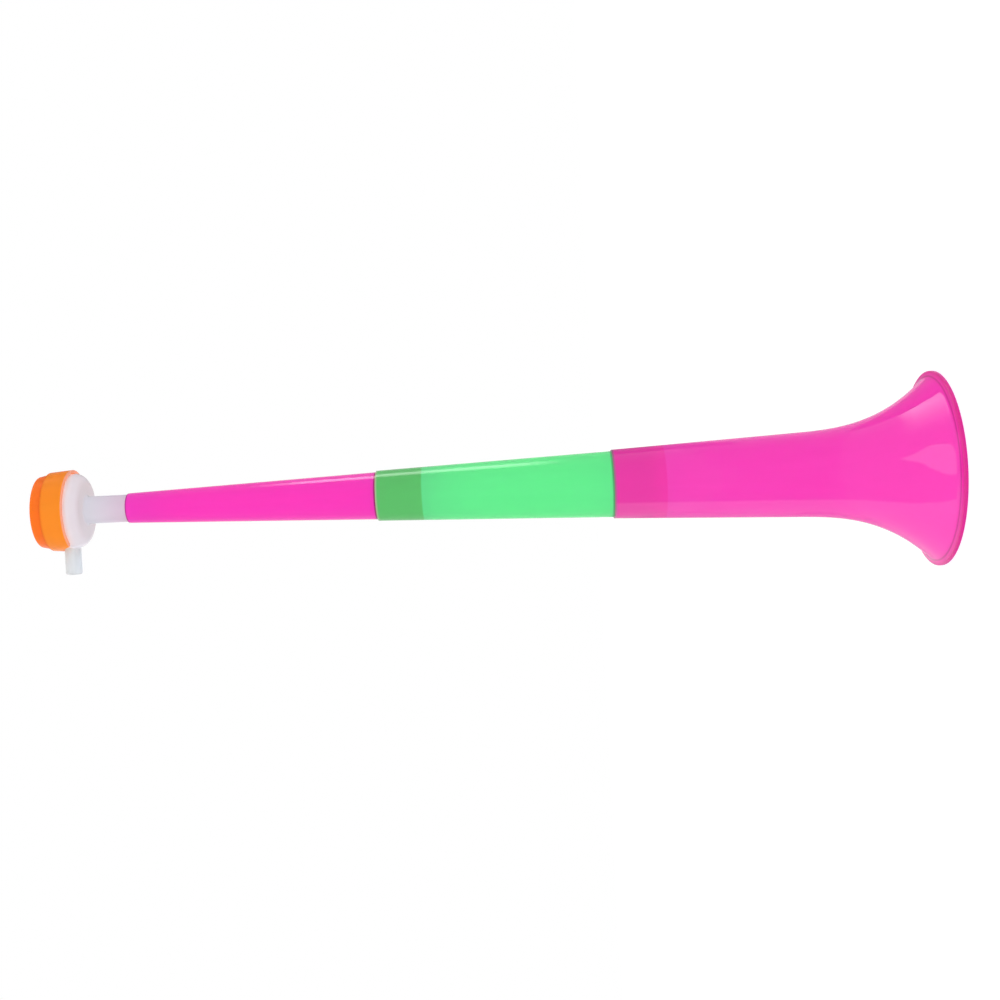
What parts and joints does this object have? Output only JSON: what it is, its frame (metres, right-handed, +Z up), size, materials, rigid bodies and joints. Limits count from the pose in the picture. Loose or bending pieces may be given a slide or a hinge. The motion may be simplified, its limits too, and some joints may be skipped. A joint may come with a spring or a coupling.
{
  "type": "vuvuzela",
  "caption": "Telescopic plastic stadium horn: tapered tubes slide into a flared bell, with a diaphragm head, side blow tube and pull-off cap.",
  "frame": {"origin": "centre of the bell's open end, in the plane of the flat lip that the horn stands on", "axes": "+Z up the horn's axis from the bell to the cap; -X along the blow tube, from the drum towards its tip; +Y completes the frame"},
  "size_m": [0.1264, 0.1264, 0.5816],
  "materials": {
    "bell_pink": "glossy translucent pink polypropylene",
    "middle_green": "glossy translucent green polypropylene",
    "lead_magenta": "glossy translucent magenta polypropylene",
    "head_white": "milky white polypropylene, satin gloss",
    "diaphragm_film": "thin milky film",
    "cap_orange": "glossy orange polypropylene"
  },
  "bodies": {
    "bell": {"bell_section": "bell_pink"},
    "middle": {"middle_section": "middle_green"},
    "lead": {"lead_section": "lead_magenta"},
    "head": {"head_body": "head_white", "diaphragm": "diaphragm_film"},
    "cap": {"cap": "cap_orange"}
  },
  "joints": [
    {"name": "middle_slide", "type": "slide", "parent": "bell", "child": "middle", "axis": [0, 0, -1], "range_m": [0, 0.15]},
    {"name": "lead_slide", "type": "slide", "parent": "middle", "child": "lead", "axis": [0, 0, -1], "range_m": [0, 0.16]},
    {"name": "head_turn", "type": "hinge", "parent": "lead", "child": "head", "pos_m": [0, 0, 0.5161], "axis": [0, 0, 1], "continuous": true},
    {"name": "cap_pull", "type": "slide", "parent": "head", "child": "cap", "axis": [0, 0, 1], "range_m": [0, 0.025]}
  ]
}
